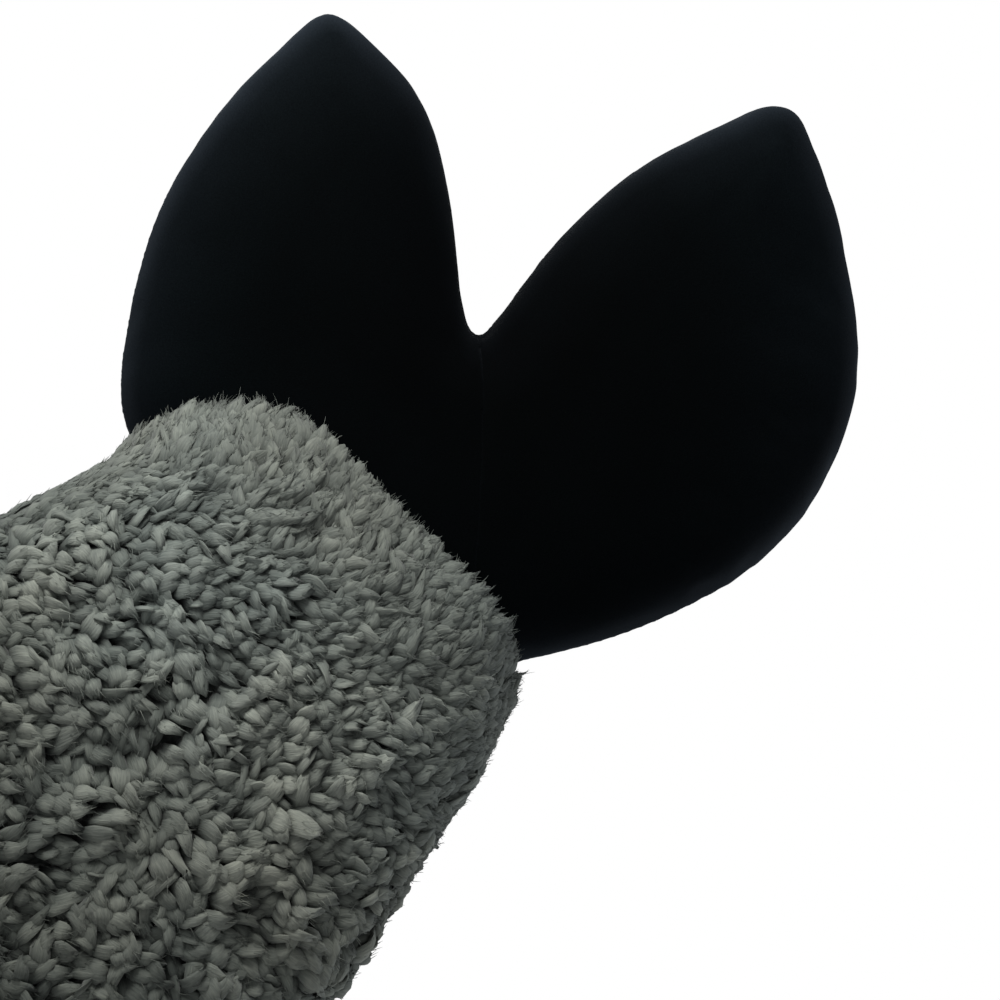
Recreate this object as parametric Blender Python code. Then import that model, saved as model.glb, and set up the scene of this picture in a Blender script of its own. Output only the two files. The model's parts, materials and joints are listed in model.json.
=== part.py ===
"""Sock puppet: a flared fleece arm sleeve that ends in a padded two-lobed head.

The puppet stands upright on its cuff. +Z runs from the cuff to the head, the
front faces -Y, and the origin lies on the resting plane under the middle of
the object. All lengths below are millimetres; MM turns them into metres.

The hand goes up through the sleeve into the palm. The four fingers fill the
right-hand lobe, which is the upper jaw, and the thumb fills the left-hand
lobe, which is the lower jaw. Both jaws hinge about the notch between them.
"""

import math
from functools import lru_cache

import bmesh
import bpy
import numpy as np
from mathutils import Matrix, Vector

MM = 0.001

# --- Sleeve: half width, half depth and centre line by height ----------------
SLEEVE_HEIGHTS = (0.0, 80.0, 157.0, 184.0, 225.0, 262.0)
SLEEVE_HALF_WIDTHS = (92.0, 90.0, 82.5, 77.0, 69.0, 80.0)
SLEEVE_HALF_DEPTHS = (40.0, 39.5, 38.5, 38.5, 39.0, 40.0)
SLEEVE_CENTRES = (8.0, 11.0, 18.5, 18.5, 18.0, -3.0)
SECTION_POWER = 2.8          # superellipse: 2 is an ellipse, more is boxier

FLEECE = 9.0                 # backing and pile together
LINING = 1.5
LINING_GAP = 0.9             # slack between the fleece and its lining
CUFF_HEIGHT = 14.0
CUFF_INSET = 1.0             # the binding squeezes the pile a little

# --- Hem of the fleece, where the head comes out ------------------------------
HEM_HEIGHT = 258.0
HEM_DROP = 34.0              # the hem hangs lower over the thumb side
HEM_DROP_EDGE = -47.0
HEM_DROP_RUN = 38.0
HEM_DROP_POWER = 2.4

# --- Joints -------------------------------------------------------------------
BEND_HEIGHT = 145.0          # wrist bend, axis along X
BEND_RADIUS = 46.0
TURN_CENTRE = 17.0           # wrist turn, axis along Y
TURN_HEIGHT = 228.0
TURN_RADIUS = 88.0
NOTCH = (-2.8, 317.0)        # jaw axis, along Y
SLIDE_GAP = 1.0              # between surfaces that slide past each other
FIT_GAP = 0.3                # between pieces that rest on each other

# --- Head: outline, seen from the front, from the notch outwards --------------
THUMB_EDGE = (NOTCH, (-13.2, 322.0), (-34.0, 339.0), (-61.0, 355.5), (-86.0, 359.0), (-102.0, 355.0))
THUMB_BACK = (
    (-102.0, 355.0), (-103.1, 343.0), (-101.6, 311.5), (-91.5, 277.0), (-75.6, 250.8), (-61.0, 235.5), (-47.0, 230.0)
)
THUMB_TUCK = ((-47.0, 230.0), (-39.5, 225.0), (-37.0, 217.0), (-38.5, 204.5))
FINGER_EDGE = (NOTCH, (-3.0, 330.0), (-6.2, 357.0), (-5.0, 390.0), (3.5, 422.0), (14.0, 440.0))
FINGER_BACK = (
    (14.0, 440.0), (24.0, 438.0), (52.0, 422.0), (86.6, 391.0), (101.5, 354.0), (101.8, 325.0), (86.0, 282.5),
    (72.0, 265.5),
)
FINGER_TUCK = ((72.0, 265.5), (66.0, 256.0), (66.5, 240.0), (75.0, 204.5))

HEAD_HALF_DEPTH = 23.5
RIM_RADIUS = 30.0            # the rounding of the head towards its rim, in plan
HEAD_BOTTOM = 204.5
COVER = 1.6
PAD_OUTSET = 2.6             # depth below the head's surface where the padding starts
PAD_RIM = 7.0                # distance from the rim where the padding starts
POCKET_RIM = 12.0            # distance from the rim where the hand pocket starts
POCKET_HALF_DEPTH = 15.2
POCKET_RIM_RADIUS = 15.0
POCKET_WALL = 1.2
POCKET_SQUARENESS = 1.6      # how soon the pocket's section reaches its full height
POCKET_END_WALL = 1.5        # thickness of the pocket's closed end, in degrees about the notch
HOLLOW_RIM = 9.5             # distance from the rim where the padding's hollow starts
HOLLOW_RIM_RADIUS = 17.0
HOLLOW_ROOM = 1.4            # the hollow is this much deeper than the pocket
PAD_THINNEST = 1.0
PAD_CUT_BACK = 5.0           # a jaw's padding stops this many degrees short of its cover

# --- How the head is divided: directions from the notch, in degrees -----------
JAW_OPEN_ROOM = 10.0
PALM_LEFT = 241.0
PALM_RIGHT = 326.0
THUMB_CUT = PALM_LEFT - JAW_OPEN_ROOM
FINGER_CUT = PALM_RIGHT + JAW_OPEN_ROOM - 360.0
HINGE_CLEAR = 10.0           # no jaw or palm material nearer to the notch than this
THUMB_POCKET_END = 172.0
FINGER_POCKET_END = 70.0

TACK_RADIUS = 1.6
TACK_HALF_LENGTH = 6.0

# --- Mesh fineness --------------------------------------------------------------
PANEL_COLUMNS = 18
PANEL_ROWS = 4
LINING_COLUMNS = 2 * PANEL_COLUMNS
LOBE_COLUMNS = 9
LOBE_ROWS = 8
PALM_COLUMNS = 16
PALM_ROWS = 12
POCKET_SIDES = 16
POCKET_STATIONS = 6
POCKET_SEARCH_END = 130.0    # farther from the notch than any rim
POCKET_SEARCH_STEP = 0.5
HINGE_ARC_SPANS = 8
OUTLINE_STEPS = 8            # samples on each span of a curve
TABLE_STEPS = 12
TACK_SIDES = 8
SHARP_ANGLE = 50.0

# --- Materials: colour, roughness ------------------------------------------------
FINISHES = {
    "fleece": ((0.115, 0.125, 0.117), 0.95),
    "velour": ((0.0035, 0.004, 0.005), 0.85),
    "lining": ((0.035, 0.037, 0.038), 0.9),
    "wadding": ((0.72, 0.71, 0.68), 0.95),
    "binding": ((0.055, 0.06, 0.057), 0.85),
    "thread": ((0.01, 0.011, 0.012), 0.6),
}


# --- Curves -----------------------------------------------------------------------
def catmull_rom(points, steps):
    """A smooth curve through the points, with steps samples on each span."""
    ends = [2 * np.array(points[0]) - points[1], 2 * np.array(points[-1]) - points[-2]]
    knots = [ends[0], *[np.array(point) for point in points], ends[1]]
    samples = []
    for before, start, end, after in zip(knots, knots[1:], knots[2:], knots[3:]):
        for step in range(steps):
            t = step / steps
            samples.append(
                0.5 * (2 * start + (end - before) * t
                       + (2 * before - 5 * start + 4 * end - after) * t ** 2
                       + (3 * start - before - 3 * end + after) * t ** 3)
            )
    samples.append(np.array(points[-1]))
    return np.array(samples)


def along(path, fractions):
    """Points at the given fractions of the path's length."""
    lengths = np.concatenate([[0.0], np.cumsum(np.linalg.norm(np.diff(path, axis=0), axis=1))])
    targets = np.array(fractions) * lengths[-1]
    return np.stack([np.interp(targets, lengths, path[:, axis]) for axis in (0, 1)], axis=1)


@lru_cache
def height_curve(values):
    return catmull_rom(list(zip(SLEEVE_HEIGHTS, values)), TABLE_STEPS)


def by_height(z, values):
    """Read one of the sleeve's tables at height z, along a smooth curve."""
    curve = height_curve(values)
    return float(np.interp(z, curve[:, 0], curve[:, 1]))


# --- Sleeve sections ------------------------------------------------------------------
def section_point(angle, z, inset):
    """A point of the sleeve's section at height z, inset from its outer surface."""
    cosine = math.cos(angle)
    sine = math.sin(angle)
    width = by_height(z, SLEEVE_HALF_WIDTHS) - inset
    depth = by_height(z, SLEEVE_HALF_DEPTHS) - inset
    x = by_height(z, SLEEVE_CENTRES) + width * math.copysign(abs(cosine) ** (2 / SECTION_POWER), cosine)
    y = depth * math.copysign(abs(sine) ** (2 / SECTION_POWER), sine)
    return Vector((x, y, z))


def bend_rim(radius):
    """Height of an edge that lies on the wrist bend's cylinder."""
    def height(angle, inset):
        z = BEND_HEIGHT - radius / 2
        for _ in range(3):
            y = section_point(angle, z, inset).y
            z = BEND_HEIGHT - math.sqrt(max(radius ** 2 - y ** 2, 0.0))
        return z
    return height


def turn_rim(radius):
    """Height of an edge that lies on the wrist turn's cylinder."""
    def height(angle, inset):
        z = TURN_HEIGHT - radius / 2
        for _ in range(3):
            x = section_point(angle, z, inset).x - TURN_CENTRE
            z = TURN_HEIGHT - math.sqrt(max(radius ** 2 - x ** 2, 0.0))
        return z
    return height


def hem_rim(angle, inset):
    """Height of the hem: level, but lower over the thumb side."""
    x = section_point(angle, HEM_HEIGHT - HEM_DROP / 2, inset).x
    run = min(max((x - HEM_DROP_EDGE) / HEM_DROP_RUN, 0.0), 1.0)
    return HEM_HEIGHT - HEM_DROP * (1 - run) ** HEM_DROP_POWER


def level(z):
    return lambda angle, inset: z


# --- Mesh building ---------------------------------------------------------------------
def make_object(name, finish, vertices, faces, origin=(0.0, 0.0, 0.0)):
    """One closed, triangulated, smooth-shaded body with its origin where asked."""
    mesh = bpy.data.meshes.new(name)
    mesh.from_pydata([Vector(vertex) * MM for vertex in vertices], [], faces)
    body = bmesh.new()
    body.from_mesh(mesh)
    bmesh.ops.recalc_face_normals(body, faces=body.faces)
    bmesh.ops.triangulate(body, faces=body.faces)
    if body.calc_volume(signed=True) < 0:
        bmesh.ops.reverse_faces(body, faces=body.faces)
    body.to_mesh(mesh)
    body.free()
    pivot = Vector(origin) * MM
    mesh.transform(Matrix.Translation(-pivot))
    mesh.shade_smooth()
    mesh.set_sharp_from_angle(angle=math.radians(SHARP_ANGLE))
    mesh.materials.append(bpy.data.materials[finish])
    piece = bpy.data.objects.new(name, mesh)
    piece.location = pivot
    bpy.context.scene.collection.objects.link(piece)
    return piece


def closed_shell(outer, inner, wraps=False):
    """Faces and vertices of the solid between two grids of the same size.

    A grid is a list of columns. With wraps, the last column meets the first.
    """
    columns = len(outer)
    rows = len(outer[0])
    vertices = [point for column in outer for point in column]
    vertices += [point for column in inner for point in column]
    shift = columns * rows
    faces = []
    spans = columns if wraps else columns - 1
    for i in range(spans):
        left = i * rows
        right = (i + 1) % columns * rows
        for j in range(rows - 1):
            quad = (left + j, right + j, right + j + 1, left + j + 1)
            faces.append(quad)
            faces.append(tuple(shift + corner for corner in reversed(quad)))
        for j in (0, rows - 1):
            faces.append((left + j, right + j, shift + right + j, shift + left + j))
    if not wraps:
        for column in (0, (columns - 1) * rows):
            for j in range(rows - 1):
                low = column + j
                faces.append((low, low + 1, shift + low + 1, shift + low))
    return vertices, faces


def tube_grid(angles, inset, low, high, rows):
    grid = []
    for angle in angles:
        bottom = low(angle, inset)
        top = high(angle, inset)
        column = [section_point(angle, bottom + (top - bottom) * row / rows, inset) for row in range(rows + 1)]
        grid.append(column)
    return grid


def sleeve_panel(name, front, low, high, inset, thickness, finish, origin=(0.0, 0.0, 0.0)):
    """Front or back half of a sleeve tube, with a seam gap at each side."""
    seam = math.asin(FIT_GAP / 2 / SLEEVE_HALF_DEPTHS[0]) ** (SECTION_POWER / 2)
    start = math.pi if front else 0.0
    angles = [start + seam + (math.pi - 2 * seam) * i / PANEL_COLUMNS for i in range(PANEL_COLUMNS + 1)]
    outer = tube_grid(angles, inset, low, high, PANEL_ROWS)
    inner = tube_grid(angles, inset + thickness, low, high, PANEL_ROWS)
    return make_object(name, finish, *closed_shell(outer, inner), origin)


def sleeve_ring(name, low, high, inset, thickness, rows, finish, origin=(0.0, 0.0, 0.0)):
    """A tube that goes all the way round inside the sleeve."""
    angles = [2 * math.pi * i / LINING_COLUMNS for i in range(LINING_COLUMNS)]
    outer = tube_grid(angles, inset, low, high, rows)
    inner = tube_grid(angles, inset + thickness, low, high, rows)
    return make_object(name, finish, *closed_shell(outer, inner, wraps=True), origin)


# --- Head: plan, distance from the rim and thickness -----------------------------------
class Plan:
    """The head's outline as curves, and the distance of a point from it."""

    def __init__(self):
        self.thumb_edge = catmull_rom(THUMB_EDGE, OUTLINE_STEPS)
        self.thumb_back = catmull_rom(THUMB_BACK, OUTLINE_STEPS)
        self.thumb_tuck = np.array(THUMB_TUCK)
        self.finger_edge = catmull_rom(FINGER_EDGE, OUTLINE_STEPS)
        self.finger_back = catmull_rom(FINGER_BACK, OUTLINE_STEPS)
        self.finger_tuck = np.array(FINGER_TUCK)
        left = np.concatenate([self.thumb_edge, self.thumb_back, self.thumb_tuck])
        right = np.concatenate([self.finger_edge, self.finger_back, self.finger_tuck])
        self.line = np.concatenate([left[::-1], right[1:]])

    def nearest(self, point):
        """Distance to the outline, and the unit direction away from it."""
        start = self.line[:-1]
        span = self.line[1:] - start
        length = np.maximum((span ** 2).sum(axis=1), 1e-9)
        fraction = np.clip(((point - start) * span).sum(axis=1) / length, 0, 1)
        foot = start + span * fraction[:, None]
        gaps = np.linalg.norm(point - foot, axis=1)
        best = int(np.argmin(gaps))
        if gaps[best] > 1e-3:
            return gaps[best], (point - foot[best]) / gaps[best]
        normal = np.array([span[best][1], -span[best][0]])
        return 0.0, normal / np.linalg.norm(normal)


def direction(degrees):
    radians = math.radians(degrees)
    return np.array([math.cos(radians), math.sin(radians)])


def turned(point):
    """Direction of a point from the notch, in degrees."""
    offset = np.array(point) - NOTCH
    return math.degrees(math.atan2(offset[1], offset[0]))


def crossing(path, degrees):
    """Where a path crosses the ray that leaves the notch in this direction."""
    ray = direction(degrees)
    normal = np.array([-ray[1], ray[0]])
    sides = (path - NOTCH) @ normal
    for i in range(len(path) - 1):
        if sides[i] * sides[i + 1] <= 0 and (path[i] - NOTCH) @ ray > 0:
            fraction = sides[i] / (sides[i] - sides[i + 1])
            return i, path[i] + (path[i + 1] - path[i]) * fraction
    raise ValueError("the ray misses the path")


def swell(fraction):
    """Height of a quarter circle at this fraction of its radius from its foot."""
    inside = 1 - min(max(fraction, 0.0), 1.0)
    return math.sqrt(1 - inside * inside)


def head_height(distance, depth):
    """Half thickness of the padding, depth below the head's surface."""
    foot = 2 * depth
    return (HEAD_HALF_DEPTH - depth) * swell((distance - foot) / (RIM_RADIUS - foot))


def pocket_height(distance):
    """Half thickness of the hand pocket's outer surface."""
    return POCKET_HALF_DEPTH * swell((distance - POCKET_RIM) / POCKET_RIM_RADIUS)


def hollow_height(distance):
    """Half thickness of the hollow that the padding leaves for the pocket."""
    return FIT_GAP / 2 + (POCKET_HALF_DEPTH + HOLLOW_ROOM) * swell((distance - HOLLOW_RIM) / HOLLOW_RIM_RADIUS)


def patch(edge, cut, inner, rim, across, outward):
    """Grid of points between four curves: edge and cut run outwards, inner and rim run across."""
    edges = along(edge, outward)
    cuts = along(cut, outward)
    inners = along(inner, across)
    rims = along(rim, across)
    grid = []
    for i, s in enumerate(across):
        column = []
        for j, r in enumerate(outward):
            sides = (1 - s) * edges[j] + s * cuts[j] + (1 - r) * inners[i] + r * rims[i]
            corners = (1 - s) * ((1 - r) * edges[0] + r * edges[-1]) + s * ((1 - r) * cuts[0] + r * cuts[-1])
            column.append(sides - corners)
        grid.append(column)
    return grid


def hinge_arc(start, end):
    """A short arc round the notch from one direction to another."""
    turns = np.linspace(start, end, HINGE_ARC_SPANS + 1)
    return np.array([np.array(NOTCH) + HINGE_CLEAR * direction(turn) for turn in turns])


def ray(degrees, end):
    return np.array([np.array(NOTCH) + HINGE_CLEAR * direction(degrees), end])


def clear_of_hinge(path):
    """The part of a path that starts HINGE_CLEAR away from the notch."""
    away = np.linalg.norm(path - NOTCH, axis=1)
    first = int(np.argmax(away > HINGE_CLEAR))
    fraction = (HINGE_CLEAR - away[first - 1]) / (away[first] - away[first - 1])
    start = path[first - 1] + (path[first] - path[first - 1]) * fraction
    return np.concatenate([[start], path[first:]])


def lobe_grid(edge, back, cut_degrees):
    """Grid over one lobe: columns from the mouth edge to the cut, rows outwards."""
    mouth = clear_of_hinge(edge)
    index, corner = crossing(back, cut_degrees)
    rim = np.concatenate([back[:index + 1], [corner]])
    start = turned(mouth[0]) % 360
    inner = hinge_arc(start, cut_degrees)
    across = [1 - math.cos(math.pi / 2 * i / LOBE_COLUMNS) for i in range(LOBE_COLUMNS + 1)]
    outward = [math.sin(math.pi / 2 * j / LOBE_ROWS) for j in range(LOBE_ROWS + 1)]
    return patch(mouth, ray(cut_degrees, corner), inner, rim, across, outward)


def palm_grid(plan):
    """Grid over the palm: columns from its left side to its right side, rows down to its bottom."""
    left_side = np.concatenate([plan.thumb_back, plan.thumb_tuck])
    right_side = np.concatenate([plan.finger_back, plan.finger_tuck])
    left_index, left = crossing(left_side, PALM_LEFT)
    right_index, right = crossing(right_side, PALM_RIGHT)
    left_edge = np.concatenate([ray(PALM_LEFT, left), left_side[left_index + 1:]])
    right_edge = np.concatenate([ray(PALM_RIGHT, right), right_side[right_index + 1:]])
    bottom = np.array([left_edge[-1], right_edge[-1]])
    across = [(1 - math.cos(math.pi * i / PALM_COLUMNS)) / 2 for i in range(PALM_COLUMNS + 1)]
    down = [j / PALM_ROWS for j in range(PALM_ROWS + 1)]
    return patch(left_edge, right_edge, hinge_arc(PALM_LEFT, PALM_RIGHT), bottom, across, down)


def sheet(plan, grid, inset, height, side):
    """Raise a plan grid, moved in from the rim by inset, to the given half thickness."""
    surface = []
    for column in grid:
        points = []
        for point in column:
            distance, away = plan.nearest(point)
            moved = point + away * inset * max(1 - distance / RIM_RADIUS, 0.0)
            reach = plan.nearest(moved)[0]
            points.append(Vector((moved[0], side * height(reach, distance), moved[1])))
        surface.append(points)
    return surface


def cover_half(name, plan, grid, side, origin):
    def outside(reach, distance):
        return max(FIT_GAP / 2, HEAD_HALF_DEPTH * swell(distance / RIM_RADIUS))

    def inside(reach, distance):
        return max(FIT_GAP / 2, (HEAD_HALF_DEPTH - COVER) * swell(distance / RIM_RADIUS))

    outer = sheet(plan, grid, 0.0, outside, side)
    inner = sheet(plan, grid, COVER, inside, side)
    return make_object(name, "velour", *closed_shell(outer, inner), origin)


def pad_half(name, plan, grid, side, origin):
    def outside(reach, distance):
        return max(FIT_GAP + PAD_THINNEST, head_height(reach, PAD_OUTSET))

    def inside(reach, distance):
        return hollow_height(reach)

    outer = sheet(plan, grid, PAD_RIM, outside, side)
    inner = sheet(plan, grid, PAD_RIM, inside, side)
    return make_object(name, "wadding", *closed_shell(outer, inner), origin)


def lining_half(name, plan, grid, side):
    def outside(reach, distance):
        return max(FIT_GAP / 2 + POCKET_WALL, pocket_height(reach))

    def inside(reach, distance):
        return max(FIT_GAP / 2, pocket_height(reach) - POCKET_WALL)

    outer = sheet(plan, grid, POCKET_RIM, outside, side)
    inner = sheet(plan, grid, POCKET_RIM, inside, side)
    return make_object(name, "lining", *closed_shell(outer, inner))


def pocket_ring(plan, degrees, depth):
    """One cross section of a jaw's pocket on a ray from the notch."""
    reaches = np.arange(HINGE_CLEAR, POCKET_SEARCH_END, POCKET_SEARCH_STEP)
    points = [np.array(NOTCH) + reach * direction(degrees) for reach in reaches]
    inside = [
        reach for reach, point in zip(reaches, points)
        if plan.nearest(point)[0] > POCKET_RIM + depth and within(plan, point)
    ]
    middle = (inside[0] + inside[-1]) / 2
    half = (inside[-1] - inside[0]) / 2
    ring = []
    for k in range(POCKET_SIDES):
        angle = 2 * math.pi * (k + 0.5) / POCKET_SIDES
        point = np.array(NOTCH) + (middle + half * math.cos(angle)) * direction(degrees)
        distance = plan.nearest(point)[0]
        height = max(pocket_height(distance), FIT_GAP + POCKET_WALL) - depth
        rise = min(1.0, POCKET_SQUARENESS * abs(math.sin(angle)))
        ring.append(Vector((point[0], height * math.copysign(rise, math.sin(angle)), point[1])))
    return ring


def within(plan, point):
    """True inside the closed outline."""
    loop = plan.line
    inside = False
    for first, second in zip(loop, np.roll(loop, -1, axis=0)):
        if (first[1] > point[1]) != (second[1] > point[1]):
            x = first[0] + (point[1] - first[1]) * (second[0] - first[0]) / (second[1] - first[1])
            if point[0] < x:
                inside = not inside
    return inside


def jaw_pocket(name, plan, cut_degrees, end_degrees, origin):
    """A jaw's inner pocket: a flat sock, open at the cut and closed near the tip."""
    wall_turn = math.copysign(POCKET_END_WALL, cut_degrees - end_degrees)
    stations = [cut_degrees + (end_degrees - cut_degrees) * k / POCKET_STATIONS for k in range(POCKET_STATIONS + 1)]
    outer = [pocket_ring(plan, station, 0.0) for station in stations]
    stations[-1] += wall_turn
    inner = [pocket_ring(plan, station, POCKET_WALL) for station in stations]
    sides = POCKET_SIDES
    vertices = [point for ring in outer + inner for point in ring]
    shift = len(outer) * sides
    faces = []
    for k in range(len(outer) - 1):
        for i in range(sides):
            j = (i + 1) % sides
            quad = (k * sides + i, k * sides + j, (k + 1) * sides + j, (k + 1) * sides + i)
            faces.append(quad)
            faces.append(tuple(shift + corner for corner in reversed(quad)))
    for i in range(sides):
        j = (i + 1) % sides
        faces.append((i, j, shift + j, shift + i))
    last = (len(outer) - 1) * sides
    faces.append(tuple(last + i for i in range(sides)))
    faces.append(tuple(shift + last + i for i in reversed(range(sides))))
    return make_object(name, "lining", vertices, faces, origin)


def mouth_tack():
    """The knot of thread that holds the seam at the notch, as a small rounded bar."""
    sides = TACK_SIDES
    stations = ((-1.0, 0.45), (-0.85, 0.9), (0.0, 1.0), (0.85, 0.9), (1.0, 0.45))
    vertices = []
    for place, size in stations:
        for i in range(sides):
            angle = 2 * math.pi * i / sides
            vertices.append((
                NOTCH[0] + TACK_RADIUS * size * math.cos(angle),
                TACK_HALF_LENGTH * place,
                NOTCH[1] - 2 * TACK_RADIUS + TACK_RADIUS * size * math.sin(angle),
            ))
    faces = []
    for k in range(len(stations) - 1):
        for i in range(sides):
            j = (i + 1) % sides
            faces.append((k * sides + i, k * sides + j, (k + 1) * sides + j, (k + 1) * sides + i))
    faces.append(tuple(range(sides)))
    faces.append(tuple((len(stations) - 1) * sides + i for i in range(sides)))
    return make_object("mouth_tack", "thread", vertices, faces)


# --- The object ------------------------------------------------------------------------
def make_materials():
    for name, (colour, roughness) in FINISHES.items():
        material = bpy.data.materials.new(name)
        material.use_nodes = True
        shader = material.node_tree.nodes["Principled BSDF"]
        shader.inputs["Base Color"].default_value = (*colour, 1.0)
        shader.inputs["Roughness"].default_value = roughness
        shader.inputs["Metallic"].default_value = 0.0


def make_sleeve():
    """The lower sleeve, which stays still: fleece, lining and the bound cuff."""
    top = bend_rim(BEND_RADIUS + SLIDE_GAP)
    for side in ("front", "back"):
        sleeve_panel(f"sleeve_panel_{side}", side == "front", level(CUFF_HEIGHT + FIT_GAP), top, 0.0, FLEECE, "fleece")
    sleeve_ring("sleeve_lining", level(CUFF_HEIGHT + FIT_GAP), top, FLEECE + LINING_GAP, LINING, 3, "lining")
    sleeve_ring("cuff_binding", level(0.0), level(CUFF_HEIGHT), CUFF_INSET, FLEECE + LINING - CUFF_INSET, 1, "binding")


def make_wrist():
    """The part of the sleeve round the wrist, which bends over the cuff."""
    origin = (0.0, 0.0, BEND_HEIGHT)
    low = bend_rim(BEND_RADIUS)
    high = turn_rim(TURN_RADIUS + SLIDE_GAP)
    for side in ("front", "back"):
        sleeve_panel(f"wrist_panel_{side}", side == "front", low, high, 0.0, FLEECE, "fleece", origin)
    sleeve_ring("wrist_lining", low, high, FLEECE + LINING_GAP, LINING, 3, "lining", origin)


def make_palm(plan):
    """The hem of the sleeve and the middle of the head, which turn on the wrist."""
    origin = (TURN_CENTRE, 0.0, TURN_HEIGHT)
    low = turn_rim(TURN_RADIUS)
    grid = palm_grid(plan)
    for side, sign in (("front", -1), ("back", 1)):
        sleeve_panel(f"hem_panel_{side}", side == "front", low, hem_rim, 0.0, FLEECE, "fleece", origin)
        cover_half(f"palm_cover_{side}", plan, grid, sign, origin)
        pad_half(f"palm_pad_{side}", plan, grid, sign, origin)
        lining_half(f"hand_lining_{side}", plan, grid, sign)
    top = level(HEAD_BOTTOM - 2 * FIT_GAP)
    sleeve_ring("wrist_tunnel", low, top, FLEECE + LINING_GAP, LINING, 3, "lining", origin)
    mouth_tack()


def make_jaw(name, plan, edge, back, cut_degrees, pocket_end):
    """One jaw: cover, padding and pocket, hinged about the notch."""
    origin = (NOTCH[0], 0.0, NOTCH[1])
    cover_grid = lobe_grid(edge, back, cut_degrees)
    pad_grid = lobe_grid(edge, back, cut_degrees + math.copysign(PAD_CUT_BACK, pocket_end - cut_degrees))
    for side, sign in (("front", -1), ("back", 1)):
        cover_half(f"{name}_cover_{side}", plan, cover_grid, sign, origin)
        pad_half(f"{name}_pad_{side}", plan, pad_grid, sign, origin)
    jaw_pocket(f"{name}_pocket", plan, cut_degrees, pocket_end, origin)


def build():
    for leftover in list(bpy.data.objects):
        bpy.data.objects.remove(leftover, do_unlink=True)
    make_materials()
    plan = Plan()
    make_sleeve()
    make_wrist()
    make_palm(plan)
    make_jaw("finger", plan, plan.finger_edge, plan.finger_back, FINGER_CUT, FINGER_POCKET_END)
    make_jaw("thumb", plan, plan.thumb_edge, plan.thumb_back, THUMB_CUT, THUMB_POCKET_END)


build()
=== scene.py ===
"""Looks of the sock puppet: curly fleece sleeve, padded black velour head.

Lengths are in millimetres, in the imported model's frame, and turn into metres
with MM. The sleeve's section and the head's outline are restated here from their
driving dimensions, because the pile, the lining, the cuff and the head's cover
are grown on them. The joints come from the frame.
"""

import json
import math

import bmesh
import bpy
import numpy as np
from mathutils import Matrix, Vector
from mathutils.geometry import delaunay_2d_cdt


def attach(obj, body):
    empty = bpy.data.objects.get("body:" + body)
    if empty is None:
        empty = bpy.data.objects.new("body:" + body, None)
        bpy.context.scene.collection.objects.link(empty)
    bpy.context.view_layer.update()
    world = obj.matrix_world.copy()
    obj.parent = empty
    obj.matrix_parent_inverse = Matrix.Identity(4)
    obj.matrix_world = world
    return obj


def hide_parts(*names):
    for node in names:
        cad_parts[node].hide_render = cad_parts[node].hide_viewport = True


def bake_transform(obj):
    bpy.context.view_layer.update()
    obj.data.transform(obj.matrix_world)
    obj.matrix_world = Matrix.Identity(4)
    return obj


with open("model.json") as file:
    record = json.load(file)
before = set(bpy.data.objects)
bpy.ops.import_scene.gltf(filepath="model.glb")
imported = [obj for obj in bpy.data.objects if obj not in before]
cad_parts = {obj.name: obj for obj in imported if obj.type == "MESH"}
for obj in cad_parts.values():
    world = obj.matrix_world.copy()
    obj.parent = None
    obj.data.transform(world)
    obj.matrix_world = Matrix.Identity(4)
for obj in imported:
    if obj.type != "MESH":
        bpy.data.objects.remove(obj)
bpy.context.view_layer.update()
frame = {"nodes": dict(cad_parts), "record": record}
joints = {joint["name"]: joint for joint in frame["record"]["behaviour"]["joints"]}

MM = 0.001
SEED = 7
WAVE_COUNT = 7

# --- Sleeve, in millimetres: half width, half depth and centre by height --------------------------
HEIGHTS = (0.0, 80.0, 157.0, 184.0, 225.0, 262.0)
HALF_WIDTHS = (92.0, 90.0, 82.6, 77.3, 71.0, 80.0)
HALF_DEPTHS = (40.0, 39.5, 38.5, 38.5, 39.0, 40.0)
CENTRES = (8.0, 11.0, 18.5, 18.9, 18.0, -3.0)
SECTION_POWER = 2.8
HEM_HEIGHT = 258.0
HEM_DROP = 34.0
HEM_DROP_EDGE = -47.0
HEM_DROP_RUN = 38.0
HEM_DROP_POWER = 2.4
CORNER_START = 54.0          # the hem's other corner is rounded off
CORNER_RUN = 22.0
CORNER_DROP = 8.0
CUFF_HEIGHT = 14.0
CUFF_THICKNESS = 0.9
CUFF_OUTER_INSET = 1.5
CUFF_INNER_INSET = 9.7
CUFF_FOLD = 4.0              # height of the round fold at the bottom edge
PUCKERS = 61
PUCKER_HEIGHT = 0.35
PUCKERS_FROM = 3.0           # the bottom edge, which the puppet stands on, stays plain
STITCH_HEIGHT = 9.0
STITCH_PITCH = 4.2
STITCH_SHARE = 0.68          # share of the pitch on which the thread shows
STITCH_INSET = 1.35
STITCH_BULGE = 0.45
STITCH_RADIUS = 0.32
LINING_INSET = 10.6
LINING_SLACK = 0.4
LINING_THICKNESS = 1.0
RUCK_SIZE = 30.0
RUCK_HEIGHT = 0.7
PLEATS = 23
PLEAT_HEIGHT = 0.4
PLEAT_LEAN = 9               # how steeply the pleats run up the sleeve
LINING_SIDES = 120
LINING_RINGS = 30
GROUND_SIDES = 160
GROUND_THIN_WIDE = 0.022     # thickness of the knitted ground, as shares of its width and depth
GROUND_THIN_DEEP = 0.06
CUFF_SIDES = 240
EVEN_HEIGHT = 120.0          # the tubes' points are evenly spaced round the section at this height

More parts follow.
